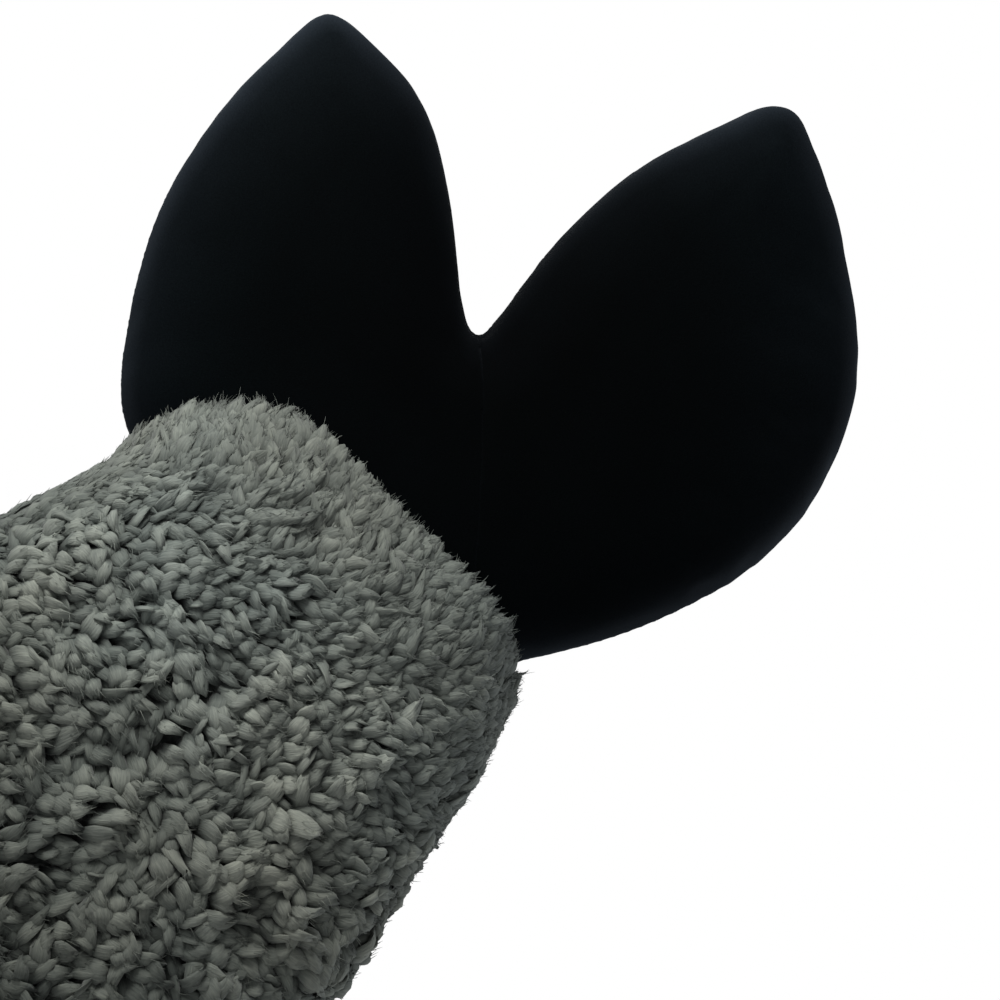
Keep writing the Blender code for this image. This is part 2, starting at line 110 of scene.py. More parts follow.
# --- Pile, ground and lining are cut at SPLIT, between the wrist bend and the turn ----------------
NOTCH = np.array(joints["finger_jaw"]["pos_m"])[[0, 2]] / MM
NOTCH_BOTTOM = NOTCH + np.array([1.3, -1.7])
BEND_HEIGHT = joints["wrist_bend"]["pos_m"][2] / MM
TURN_HEIGHT = joints["wrist_turn"]["pos_m"][2] / MM
BEND_REACH = 32.0
TURN_REACH_BELOW = 31.0
SPLIT = (BEND_HEIGHT + BEND_REACH + TURN_HEIGHT - TURN_REACH_BELOW) / 2

# --- Head outline, in millimetres, seen from the front, from the notch outwards -------------------
THUMB_EDGE = ((-13.2, 322.0), (-34.0, 339.4), (-61.0, 356.1), (-86.6, 358.0), (-104.0, 356.6))
THUMB_BACK = (
    (-104.0, 343.0), (-102.1, 311.6), (-92.4, 276.6), (-76.6, 249.9), (-60.0, 229.5), (-48.0, 223.3)
)
FINGER_EDGE = ((-3.3, 330.3), (-7.1, 357.4), (-5.7, 390.3), (3.3, 422.2), (6.9, 433.4), (13.3, 440.4))
FINGER_BACK = (
    (23.1, 437.6), (51.8, 422.0), (87.3, 391.4), (102.6, 354.0), (102.5, 325.0), (96.3, 303.0),
    (87.5, 282.0), (72.2, 256.8)
)
TUCK_BOTTOM = 206.0          # the head ends out of sight inside the hem, between these sides
TUCK_LEFT = -38.0
TUCK_RIGHT = 72.0
HEAD_HALF_DEPTH = 23.5
HEAD_RIM = 30.0              # its thickness rounds off over this distance from the outline
HEAD_VOXEL = 1.9
OUTLINE_STEP = 2.0
OUTLINE_RELAXES = 8
HEAD_STEP = 3.0              # spacing of the pillow's points
CLOTH_PRESSURE = 3.0
CLOTH_FRAMES = 15
CLOTH_CAP = 2.0              # no point moves further than this while the cloth is inflated
SMOOTH_BEFORE = 9            # rounds of smoothing before and after the cloth is inflated
SMOOTH_AFTER = 8
SEAM_DEPTH = 0.6
SEAM_WIDTH = 1.0
CREASE_TURN = math.radians(-49.0)      # direction of the fold that leaves the notch
CREASE_LENGTH = 52.0
CREASE_HALF_WIDTH = 3.2
CREASE_DEPTH = 0.13          # share of the head's thickness
COVER_THICKNESS = 1.2


# --- Curves and sections --------------------------------------------------------------------------
def catmull_rom(points, steps):
    """A smooth curve through the points, with steps samples on each span."""
    knots = np.array(points, dtype=float)
    knots = np.vstack([2 * knots[0] - knots[1], knots, 2 * knots[-1] - knots[-2]])
    samples = []
    for before, start, end, after in zip(knots, knots[1:], knots[2:], knots[3:]):
        for step in range(steps):
            t = step / steps
            samples.append(
                0.5 * (2 * start + (end - before) * t
                       + (2 * before - 5 * start + 4 * end - after) * t ** 2
                       + (3 * start - before - 3 * end + after) * t ** 3)
            )
    samples.append(knots[-2])
    return np.array(samples)


TABLES = {
    name: catmull_rom(list(zip(HEIGHTS, values)), 12)
    for name, values in (("width", HALF_WIDTHS), ("depth", HALF_DEPTHS), ("centre", CENTRES))
}


def table(name, z):
    """Half width, half depth or centre of the sleeve at height z."""
    curve = TABLES[name]
    return np.interp(z, curve[:, 0], curve[:, 1])


def signed_power(value, power):
    """The power of the size, with the sign kept."""
    return np.sign(value) * np.abs(value) ** power


def section(angle, z, inset):
    """Points of the sleeve's surface, in millimetres, for arrays of angles and heights."""
    x = table("centre", z) + (table("width", z) - inset) * signed_power(np.cos(angle), 2 / SECTION_POWER)
    y = (table("depth", z) - inset) * signed_power(np.sin(angle), 2 / SECTION_POWER)
    return np.stack([x, y, z + 0 * x], axis=-1)


def hem_height(x):
    """Height of the hem: it dips at the thumb side and rounds off at the other corner."""
    drop = HEM_DROP * (1 - np.clip((x - HEM_DROP_EDGE) / HEM_DROP_RUN, 0, 1)) ** HEM_DROP_POWER
    return HEM_HEIGHT - drop - CORNER_DROP * np.clip((x - CORNER_START) / CORNER_RUN, 0, 1.3) ** 2


def even_angles(z, count):
    """Angles that divide the section at height z into equal lengths."""
    angle = np.linspace(0, 2 * math.pi, 721)
    line = section(angle, np.full_like(angle, z), 0.0)[:, :2]
    length = np.concatenate([[0], np.cumsum(np.linalg.norm(np.diff(line, axis=0), axis=1))])
    return np.interp(np.linspace(0, length[-1], count, endpoint=False), length, angle), length[-1]


def waves(points, size, seed):
    """Smooth noise, mostly between -1 and 1, with bumps of about this size."""
    rng = np.random.default_rng(seed)
    total = np.zeros(len(points))
    for _ in range(WAVE_COUNT):
        heading = rng.normal(size=3)
        heading /= np.linalg.norm(heading)
        turn = 2 * math.pi / size * rng.uniform(0.6, 1.5)
        total += np.sin(points @ heading * turn + rng.uniform(0, 2 * math.pi))
    return total / (WAVE_COUNT / 2)


# --- Head: outline, distance from the rim ---------------------------------------------------------
def relaxed(path):
    """The same path with evenly spaced points and its small unevenness smoothed away."""
    length = np.concatenate([[0], np.cumsum(np.linalg.norm(np.diff(path, axis=0), axis=1))])
    even = np.linspace(0, length[-1], int(length[-1] / OUTLINE_STEP))
    points = np.stack([np.interp(even, length, path[:, axis]) for axis in (0, 1)], axis=1)
    for _ in range(OUTLINE_RELAXES):
        points[1:-1] = points[1:-1] / 2 + (points[:-2] + points[2:]) / 4
    return points


def head_outline():
    """Closed outline of the head, round the thumb lobe, the notch and the finger lobe."""
    sides = []
    for edge, back, tuck in ((THUMB_EDGE, THUMB_BACK, TUCK_LEFT), (FINGER_EDGE, FINGER_BACK, TUCK_RIGHT)):
        inner = catmull_rom((tuple(NOTCH_BOTTOM), *edge), 8)
        outer = catmull_rom((edge[-1], *back), 8)
        ends = [[tuck, TUCK_BOTTOM + 12], [tuck, TUCK_BOTTOM - 12]]
        sides.append(np.vstack([relaxed(np.vstack([inner, outer[1:]])), ends]))
    thumb, finger = sides
    return np.vstack([thumb[::-1], finger[1:]])


OUTLINE = head_outline()


def rim_distance(points):
    """Distance of plan points from the head's outline; the tucked-in bottom doesn't count."""
    start = OUTLINE[:-1]
    span = OUTLINE[1:] - start
    length = np.maximum((span ** 2).sum(axis=1), 1e-9)
    best = np.full(len(points), 1e9)
    for origin, along, size in zip(start, span, length):
        fraction = np.clip(((points - origin) @ along) / size, 0, 1)
        foot = origin + fraction[:, None] * along
        best = np.minimum(best, np.linalg.norm(points - foot, axis=1))
    return best


def inside_head(points):
    """Whether plan points lie inside the head's outline."""
    result = np.zeros(len(points), dtype=bool)
    for first, second in zip(OUTLINE, np.roll(OUTLINE, -1, axis=0)):
        crosses = (first[1] > points[:, 1]) != (second[1] > points[:, 1])
        height = second[1] - first[1]
        x = first[0] + (points[:, 1] - first[1]) * (second[0] - first[0]) / (height if height else 1e-9)
        result ^= crosses & (points[:, 0] < x)
    return result


def head_depth(points):
    """Half thickness of the head at plan points, in millimetres."""
    fraction = np.clip(rim_distance(points) / HEAD_RIM, 0, 1)
    return HEAD_HALF_DEPTH * np.sqrt(1 - (1 - fraction) ** 2) * inside_head(points)


# --- Mesh helpers ---------------------------------------------------------------------------------
def mesh_object(name, vertices, faces, material, smooth=True):
    """A new piece from vertices in metres and faces."""
    mesh = bpy.data.meshes.new(name)
    mesh.from_pydata(np.asarray(vertices).tolist(), [], faces)
    mesh.validate()
    mesh.update()
    if smooth:
        mesh.shade_smooth()
    mesh.materials.append(material)
    piece = bpy.data.objects.new(name, mesh)
    bpy.context.scene.collection.objects.link(piece)
    return piece


def quads_object(name, vertices, quads, material):
    """A mesh of quads only, built from arrays because it is large."""
    mesh = bpy.data.meshes.new(name)
    count = len(quads)
    mesh.vertices.add(len(vertices))
    mesh.vertices.foreach_set("co", np.asarray(vertices, dtype=np.float32).ravel())
    mesh.loops.add(4 * count)
    mesh.loops.foreach_set("vertex_index", np.asarray(quads, dtype=np.int32).ravel())
    mesh.polygons.add(count)
    mesh.polygons.foreach_set("loop_start", np.arange(0, 4 * count, 4, dtype=np.int32))
    mesh.update(calc_edges=True)
    mesh.shade_smooth()
    mesh.materials.append(material)
    piece = bpy.data.objects.new(name, mesh)
    bpy.context.scene.collection.objects.link(piece)
    return piece


def read_vectors(mesh, field):
    """A mesh's vertex positions ("co") or normals, one row each."""
    values = np.empty(3 * len(mesh.vertices), dtype=np.float32)
    mesh.vertices.foreach_get(field, values)
    return values.reshape(-1, 3)


def write_places(mesh, places):
    """Move a mesh's vertices to these places."""
    mesh.vertices.foreach_set("co", places.ravel())
    mesh.update()


def apply_modifiers(piece):
    """Replace a piece's mesh by what its modifiers make of it."""
    graph = bpy.context.evaluated_depsgraph_get()
    done = bpy.data.meshes.new_from_object(piece.evaluated_get(graph))
    piece.modifiers.clear()
    old = piece.data
    piece.data = done
    bpy.data.meshes.remove(old)


def closed_tube(name, outer, inner, material):
    """The solid between two grids of rings (ring, point, xyz) that wrap round, in millimetres."""
    rings, sides = outer.shape[:2]
    vertices = np.concatenate([outer.reshape(-1, 3), inner.reshape(-1, 3)]) * MM
    shift = rings * sides
    quads = []
    for k in range(rings - 1):
        for i in range(sides):
            j = (i + 1) % sides
            quads.append((k * sides + i, k * sides + j, (k + 1) * sides + j, (k + 1) * sides + i))
            quads.append((shift + (k + 1) * sides + i, shift + (k + 1) * sides + j, shift + k * sides + j,
                          shift + k * sides + i))
    top = (rings - 1) * sides
    for i in range(sides):
        j = (i + 1) % sides
        quads.append((i, shift + i, shift + j, j))
        quads.append((top + i, top + j, shift + top + j, shift + top + i))
    return quads_object(name, vertices, quads, material)


# --- Materials ------------------------------------------------------------------------------------
class Nodes:
    """Short way to wire up a material."""

    def __init__(self, name):
        self.material = bpy.data.materials.new(name)
        self.material.use_nodes = True
        self.tree = self.material.node_tree
        self.shader = self.tree.nodes["Principled BSDF"]
        self.places = self.tree.nodes.new("ShaderNodeTexCoord").outputs["Object"]

    def add(self, kind, values=None, **settings):
        node = self.tree.nodes.new("ShaderNode" + kind)
        for key, value in settings.items():
            setattr(node, key, value)
        for key, value in (values or {}).items():
            if isinstance(value, bpy.types.NodeSocket):
                self.tree.links.new(value, node.inputs[key])
            else:
                node.inputs[key].default_value = value
        return node

    def noise(self, scale, detail):
        node = self.add("TexNoise", {"Vector": self.places, "Scale": scale, "Detail": detail})
        return node.outputs["Fac"]

    def ramp(self, fac, stops):
        node = self.add("ValToRGB", {"Fac": fac})
        elements = node.color_ramp.elements
        while len(elements) < len(stops):
            elements.new(0.5)
        for element, (place, colour) in zip(elements, stops):
            element.position = place
            element.color = (*colour, 1.0)
        return node.outputs["Color"]

    def multiply(self, colour, *layers):
        for layer in layers:
            both = {"Fac": 1.0, "Color1": colour, "Color2": layer}
            colour = self.add("MixRGB", both, blend_type="MULTIPLY").outputs["Color"]
        return colour

    def finish(self, colour, roughness, specular=0.1, sheen=0.0, sheen_roughness=0.4, sheen_tint=(1, 1, 1)):
        inputs = self.shader.inputs
        if isinstance(colour, bpy.types.NodeSocket):
            self.tree.links.new(colour, inputs["Base Color"])
        else:
            inputs["Base Color"].default_value = (*colour, 1.0)
        inputs["Roughness"].default_value = roughness
        inputs["Specular IOR Level"].default_value = specular
        inputs["Sheen Weight"].default_value = sheen
        inputs["Sheen Roughness"].default_value = sheen_roughness
        inputs["Sheen Tint"].default_value = (*sheen_tint, 1.0)
        return self.material

    def bump(self, height, distance, strength=1.0):
        node = self.add("Bump", {"Height": height, "Distance": distance, "Strength": strength})
        self.tree.links.new(node.outputs["Normal"], self.shader.inputs["Normal"])


def fleece_pile_material():
    """Grey pile, streaked along each lock's fibres, with painted shade: dark at the roots, paler at the
    tips, and darker towards the bottom of the sleeve.
    """
    nodes = Nodes("fleece_pile")
    data = nodes.add("VertexColor", layer_name="pile").outputs["Color"]
    parts = nodes.add("SeparateColor", {"Color": data})
    place = nodes.add("Attribute", attribute_name="fibre_place").outputs["Vector"]
    drawn = nodes.add("Mapping", {"Vector": place, "Scale": (1.0, 1.0, 0.14)}).outputs["Vector"]
    strand = nodes.add("TexNoise", {"Vector": drawn, "Scale": 2.3, "Detail": 3.0}).outputs["Fac"]
    # Painted shade: the tone runs from dark at the roots, where the locks shade each other, to pale at the
    # tips.
    along = nodes.ramp(parts.outputs["Red"], (
        (0.0, (0.010, 0.012, 0.012)), (0.35, (0.064, 0.071, 0.068)), (0.70, (0.158, 0.173, 0.162)),
        (1.0, (0.250, 0.266, 0.246)),
    ))
    each = nodes.ramp(parts.outputs["Green"], ((0.0, (0.78, 0.79, 0.79)), (1.0, (1.14, 1.14, 1.12))))
    streak = nodes.ramp(strand, (
        (0.30, (0.79, 0.80, 0.81)), (0.50, (1.0, 1.0, 1.0)), (0.72, (1.22, 1.22, 1.20)),
    ))
    patch = nodes.ramp(nodes.noise(14.0, 2.0), ((0.35, (0.93, 0.96, 0.96)), (0.65, (1.06, 1.03, 0.98))))
    # Painted light and shade: darker towards the bottom of the sleeve, where the light falls off, lightest
    # a little below the hem.
    height = nodes.add("SeparateXYZ", {"Vector": nodes.places}).outputs["Z"]
    down = nodes.add("MapRange", {"Value": height, "From Min": 0.09, "From Max": 0.25})
    painted_shading = nodes.ramp(down.outputs["Result"], (
        (0.0, (0.42, 0.415, 0.40)), (0.5, (0.82, 0.82, 0.81)), (0.8, (1.04, 1.04, 1.04)),
        (1.0, (0.82, 0.82, 0.82)),
    ))
    colour = nodes.multiply(along, each, streak, patch, painted_shading)
    nodes.bump(strand, 0.0006, 0.55)
    return nodes.finish(colour, 0.9, specular=0.10, sheen=0.10, sheen_roughness=0.5)


def fleece_base_material():
    """Knitted ground between the locks; its dark colour is painted shade."""
    nodes = Nodes("fleece_base")
    knit = nodes.noise(500.0, 4.0)
    # Painted shade: the ground is nearly black for the shade down among the locks.
    colour = nodes.ramp(knit, ((0.3, (0.016, 0.018, 0.017)), (0.7, (0.050, 0.055, 0.051))))
    nodes.bump(nodes.noise(450.0, 4.0), 0.001, 0.8)
    return nodes.finish(colour, 0.95, specular=0.05)


def velour_material():
    """Black brushed nap with a painted sheen, darkest where it faces the eye, paler and bluish where it
    turns away, and with painted shade round the notch.
    """
    nodes = Nodes("black_velour")
    nap = nodes.noise(2600.0, 2.0)
    cloud = nodes.noise(26.0, 3.0)
    facing = nodes.add("LayerWeight", {"Blend": 0.5}).outputs["Facing"]
    # Painted sheen: the colour turns paler and bluish towards the edges that turn away from the eye.
    painted_sheen = nodes.ramp(facing, (
        (0.0, (0.0007, 0.0012, 0.0014)), (0.35, (0.0016, 0.0023, 0.0029)), (0.75, (0.0055, 0.0072, 0.0092)),
        (1.0, (0.0110, 0.0135, 0.0165)),
    ))
    # Painted shade: darkest round the notch, with painted light further out on the lobes.
    notch = (NOTCH[0] * MM, 0.0, NOTCH[1] * MM)
    away = nodes.add("VectorMath", {0: nodes.places, 1: notch}, operation="DISTANCE").outputs["Value"]
    reach = nodes.add("MapRange", {"Value": away, "From Min": 0.015, "From Max": 0.115}).outputs["Result"]
    painted_shading = nodes.ramp(reach, ((0.0, (0.30, 0.30, 0.30)), (0.5, (0.85, 0.85, 0.85)), (1.0, (2.2, 2.2, 2.2))))
    grain = nodes.ramp(nap, ((0.3, (0.72, 0.72, 0.74)), (0.7, (1.28, 1.28, 1.26))))
    drift = nodes.ramp(cloud, ((0.35, (0.82, 0.84, 0.86)), (0.65, (1.15, 1.15, 1.18))))
    nodes.bump(nap, 0.0003, 0.35)
    colour = nodes.multiply(painted_sheen, painted_shading, drift, grain)
    return nodes.finish(colour, 0.9, specular=0.02, sheen=0.008, sheen_tint=(0.75, 0.87, 1.0))


def knit_material(name, dark, light, pitch):
    """Fine jersey: rows of stitches across columns of stitches."""
    nodes = Nodes(name)
    scale = 2 * math.pi / pitch / 20       # the wave texture's bands repeat 20 / (2 pi) times per unit
    rows, columns = (
        nodes.add("TexWave", {"Vector": nodes.places, "Scale": scale, "Distortion": 0.4},
                  wave_type="BANDS", bands_direction=direction).outputs["Fac"]
        for direction in "ZX"
    )
    weave = nodes.add("Math", {0: rows, 1: columns}, operation="MULTIPLY").outputs["Value"]
    colour = nodes.ramp(weave, ((0.0, dark), (0.6, light)))
    nodes.bump(weave, 0.0004, 0.6)
    return nodes.finish(colour, 0.9, specular=0.1, sheen=0.05)


def thread_material():
    """Twisted black thread."""
    nodes = Nodes("sewing_thread")
    twist = nodes.noise(1500.0, 1.0)
    colour = nodes.ramp(twist, ((0.3, (0.010, 0.011, 0.012)), (0.7, (0.030, 0.032, 0.034))))
    return nodes.finish(colour, 0.55, specular=0.3)


def wadding_material():
    """Pale, loosely fibrous padding."""
    nodes = Nodes("wadding")
    colour = nodes.ramp(nodes.noise(300.0, 5.0), ((0.3, (0.55, 0.54, 0.51)), (0.7, (0.80, 0.79, 0.76))))
    nodes.bump(nodes.noise(260.0, 5.0), 0.001, 0.7)
    return nodes.finish(colour, 0.95, specular=0.05)


def floor_material():
    """Pale floor that also glows a little towards the camera, so that it stays even far away."""
    nodes = Nodes("pale_floor")
    material = nodes.finish((0.86, 0.86, 0.86), 0.9, specular=0.1)
    seen = nodes.add("LightPath").outputs["Is Camera Ray"]
    glow = nodes.add("Math", {0: seen, 1: FLOOR_GLOW}, operation="MULTIPLY")
    nodes.shader.inputs["Emission Color"].default_value = (1.0, 1.0, 1.0, 1.0)
    nodes.tree.links.new(glow.outputs["Value"], nodes.shader.inputs["Emission Strength"])
    return material


# --- Fleece pile ----------------------------------------------------------------------------------
PILE_SPACING = 3.3
HEM_PILE_SPACING = 2.4
FINER_BETWEEN = (175.0, 225.0)         # heights over which the spacing shrinks
JITTER_ROUND = 0.38          # how far a root strays from its place, in spacings
JITTER_UP = 0.42
PILE_BASE_INSET = 4.7        # the knitted ground lies this far inside the sleeve's outer surface
PILE_SIDES = 12
# Along a lock: places of its rings from root to tip, and how wide each ring is.
PILE_RINGS = np.array([0.0, 0.20, 0.42, 0.62, 0.80, 0.93, 1.0])
PILE_SWELL = np.array([0.50, 0.80, 1.0, 0.96, 0.74, 0.42, 0.10])
LOCK_LENGTH = (2.3, 3.5)     # length, width and rise are ranges in root spacings
LOCK_WIDTH = (1.15, 2.05)
LOCK_RISE = (0.80, 1.65)
LOCK_DROOP = (0.2, 1.2)
LOCK_TIP = (0.55, 1.25)      # how full the tip is
LOCK_FLATNESS = (0.26, 0.46)           # thickness over width
LOCK_TILT = 0.42             # spread of the tilt to either side, in radians
LOCK_CURL = 0.34             # spread of the sideways curl, in lock lengths
LOCK_CAMBER = (0.12, 0.16)   # mean and spread of the arching across the lock
LOCK_RIDGE = 0.11            # height of the fibre ridges, in half widths
LOCK_RAGGED = 0.16           # unevenness of the tip, in lock lengths
CLUMPS = 17.0                # size of the clumps in which the pile stands higher
LUMPS = ((46.0, 1.3), (21.0, 0.6))     # sizes and heights of the ground's lumps
SWIRL_MEAN = 66.0            # degrees from straight up, far from the hem
SWIRLS = ((58.0, 30.0), (22.0, 36.0))  # sizes of the swirls and how far they turn the locks
FLAT_ZONE = 68.0             # within this distance of the hem the locks lie flatter and straighter
HEM_ZONE = 26.0              # over this distance the ground closes on the head
HEM_GAP = 0.8
HEM_LEAST = 3.0              # it stays at least this far from the middle plane
HEM_ROOTS = 230              # roots in each of the rows along the hem
HEM_ROWS = (0.0, 1.8)
HEM_LEAN = 4.0               # degrees at the hem, and how many more towards the finger side
HEM_LEAN_MORE = 34.0
HEM_LEAN_START = -15.0
HEM_LEAN_RUN = 80.0
HEM_TRIM = 3.0               # the last roots stay below the hem, so that the tips end on it
FUZZ_EACH = 4                # loose fibres on each lock
FUZZ_SIDES = 4
FUZZ_RINGS = np.array([0.0, 0.4, 0.75, 1.0])
FUZZ_TAPER = np.array([1.0, 0.9, 0.6, 0.25])
FUZZ_RADIUS = 0.10
FUZZ_LENGTH = (1.8, 4.2)
LOWER_SECTORS = 8            # the pile is cut into this many pieces round the sleeve
UPPER_SECTORS = 6


def hem_top(angles):
    """Height of the hem at each angle: the lowest height at which the surface has passed it."""
    heights = np.arange(HEM_HEIGHT - HEM_DROP - CORNER_DROP, HEM_HEIGHT + 0.5, 0.25)
    grid_angle, grid_height = np.meshgrid(angles, heights, indexing="ij")
    x = section(grid_angle, grid_height, PILE_BASE_INSET)[..., 0]
    passed = grid_height >= hem_height(x)
    return heights[np.argmax(passed, axis=1)]


def ground(angle, z):
    """The knitted ground of the fleece; it closes on the head towards the hem."""
    points = section(angle, z, PILE_BASE_INSET)
    lumps = sum(waves(points, size, SEED + index) * height for index, (size, height) in enumerate(LUMPS))
    outward = np.sign(points[:, 1])
    points[:, 1] += lumps * np.abs(np.sin(angle)) * outward
    plan = points[:, [0, 2]]
    below = hem_height(points[:, 0]) - points[:, 2]
    close = np.clip(1 - below / HEM_ZONE, 0, 1) ** 2
    touch = np.maximum(head_depth(plan) + HEM_GAP, HEM_LEAST)
    reach = np.minimum(np.abs(points[:, 1]), touch + (np.abs(points[:, 1]) - touch) * (1 - close))
    points[:, 1] = outward * np.where(np.abs(points[:, 1]) > touch, reach, np.abs(points[:, 1]))
    return points


def unit(vectors):
    """The vectors at length 1."""
    return vectors / np.maximum(np.linalg.norm(vectors, axis=1, keepdims=True), 1e-9)


def ground_frame(angle, z):
    """Root points, outward normals and upward tangents of the ground."""
    points = ground(angle, z)
    across = ground(angle + 0.01, z) - points
    up = ground(angle, z + 1.0) - points
    normal = unit(np.cross(across, up))
    return points, normal, unit(up)


def pile_roots():
    """Angle, height and spacing of each lock's root; the locks are finer towards the hem."""
    rng = np.random.default_rng(SEED)
    angles = []
    heights = []
    spacings = []
    z = CUFF_HEIGHT + 1.0
    while z < HEM_HEIGHT:
        spacing = np.interp(z, FINER_BETWEEN, (PILE_SPACING, HEM_PILE_SPACING))
        count = int(even_angles(z, 8)[1] / spacing)
        around, _ = even_angles(z, count)
        step = 2 * math.pi / count
        shifted = around + rng.uniform(0, step)
        angles.append(shifted + rng.uniform(-JITTER_ROUND, JITTER_ROUND, count) * step)
        heights.append(z + rng.uniform(-JITTER_UP, JITTER_UP, count) * spacing)
        spacings.append(np.full(count, spacing))
        z += spacing
    hem_angles, _ = even_angles(HEM_HEIGHT - HEM_DROP, HEM_ROOTS)
    for inset in HEM_ROWS:
        angles.append(hem_angles + rng.uniform(0, 0.02, len(hem_angles)))
        heights.append(hem_top(hem_angles) - HEM_TRIM - inset)
        spacings.append(np.full(len(hem_angles), HEM_PILE_SPACING))
    angles = np.concatenate(angles) % (2 * math.pi)
    heights = np.concatenate(heights)
    keep = heights < hem_top(angles) - HEM_TRIM + 0.2
    return angles[keep], heights[keep], np.concatenate(spacings)[keep]


def comb(roots, near_hem, rng):
    """Direction of each lock over the ground: degrees from straight up towards the finger side."""
    at_hem = HEM_LEAN + HEM_LEAN_MORE * np.clip((roots[:, 0] - HEM_LEAN_START) / HEM_LEAN_RUN, 0, 1)
    swirl = SWIRL_MEAN
    for index, (size, turn) in enumerate(SWIRLS):
        swirl = swirl + turn * waves(roots, size, SEED + 5 + index)
    lean = at_hem * near_hem + swirl * (1 - near_hem)
    return np.radians(lean + rng.normal(0, 20, len(roots)) * (1.2 - 0.5 * near_hem))


def grow_locks(angle, z, spacing, rng):
    """Ridged, pointed locks that overlap; each root hides under the tips behind it."""
    roots, normal, up = ground_frame(angle, z)
    below = hem_height(roots[:, 0]) - roots[:, 2]
    near_hem = np.clip(1 - below / FLAT_ZONE, 0, 1)
    near_hem = near_hem * near_hem * (3 - 2 * near_hem)
    count = len(roots)
    lean = comb(roots, near_hem, rng)
    heading = unit(up * np.cos(lean)[:, None] + np.cross(up, normal) * np.sin(lean)[:, None])
    cross = unit(np.cross(normal, heading))
    tilt = rng.normal(0, LOCK_TILT, count) * (1 - 0.6 * near_hem)
    flank = cross * np.cos(tilt)[:, None] + normal * np.sin(tilt)[:, None]
    crest = normal * np.cos(tilt)[:, None] - cross * np.sin(tilt)[:, None]
    length = spacing * rng.uniform(*LOCK_LENGTH, count) * (1 + 0.40 * near_hem)
    width = spacing * rng.uniform(*LOCK_WIDTH, count) * (1 + 0.10 * near_hem)
    clump = 1 + 0.38 * waves(roots, CLUMPS, SEED + 8) * (1 - 0.6 * near_hem)
    at_seam = np.abs(np.cos(angle)) ** 6
    low = (1 - 0.30 * near_hem) * (1 - 0.35 * at_seam)
    rise = spacing * rng.uniform(*LOCK_RISE, count) * clump * low
    curl = rng.normal(0, LOCK_CURL, count) * length * (1 - 0.4 * near_hem)
    droop = rng.uniform(*LOCK_DROOP, count) * (1 - 0.7 * near_hem)
    tip = rng.uniform(*LOCK_TIP, count)
    flat = rng.uniform(*LOCK_FLATNESS, count)
    camber = rng.normal(*LOCK_CAMBER, count)
    phase = rng.uniform(0, 2 * math.pi, (count, 1))
    t = PILE_RINGS[None, :]
    lift = np.sin(math.pi / 2 * np.minimum(t / 0.7, 1.0))
    lift = lift - droop[:, None] * np.maximum(t - 0.55, 0) ** 2 * 3
    wave = 0.03 * length[:, None] * np.sin(phase + 5.0 * t)
    centre = (
        roots[:, None, :]
        + normal[:, None, :] * (rise[:, None] * lift - 0.6)[..., None]
        + heading[:, None, :] * (length[:, None] * (t - 0.40))[..., None]
        + cross[:, None, :] * (curl[:, None] * t ** 2 + wave)[..., None]
    )
    swell = PILE_SWELL[None, :] * (1 + (tip[:, None] - 1) * np.clip((t - 0.5) / 0.4, 0, 1))
    half = (width[:, None] / 2 * swell)[:, :, None]
    around = 2 * math.pi * np.arange(PILE_SIDES) / PILE_SIDES
    ridges = rng.normal(0, 0.10, (count, 1, PILE_SIDES))
    ridges = ridges + LOCK_RIDGE * (-1.0) ** np.arange(PILE_SIDES)
    ridges = ridges + rng.normal(0, 0.03, (count, len(PILE_RINGS), PILE_SIDES))
    sideways = half * (1 + 0.5 * ridges) * np.cos(around)
    outward = half * (flat[:, None, None] * (1 + 1.8 * ridges) * np.sin(around)
                      - camber[:, None, None] * np.cos(around) ** 2)
    ragged = rng.uniform(-LOCK_RAGGED, LOCK_RAGGED, (count, 1, PILE_SIDES))
    ragged = ragged * np.clip((t - 0.6) / 0.4, 0, 1)[..., None]
    vertices = (
        centre[:, :, None, :]
        + flank[:, None, None, :] * sideways[..., None]
        + crest[:, None, None, :] * outward[..., None]
        + heading[:, None, None, :] * (ragged * length[:, None, None])[..., None]
    )
    vertices[..., 2] = np.maximum(vertices[..., 2], 1.0)
    height = np.einsum("nksj,nj->nks", vertices - roots[:, None, None, :], normal)
    # Painted shade in the pile's colour: darkest at the ground, paler with height above it, and weaker near
    # the hem.
    painted_shade_strength = (1 - 0.45 * near_hem)[:, None, None]
    tones = np.ones((*height.shape, 4), dtype=np.float32)
    tones[..., 0] = np.clip((height + 0.3) / 5.2, 0, 1) * painted_shade_strength + 1 - painted_shade_strength
    tones[..., 1] = rng.uniform(0, 1, count)[:, None, None]
    reach = np.broadcast_to((length[:, None] * t)[..., None], sideways.shape)
    fibre = np.stack([sideways, outward, reach], axis=-1) + rng.uniform(0, 400, (count, 1, 1, 3))
    fuzz = grow_fuzz(centre, crest, flank, heading, half, flat, tones, rng)
    return (vertices, tones, fibre), fuzz


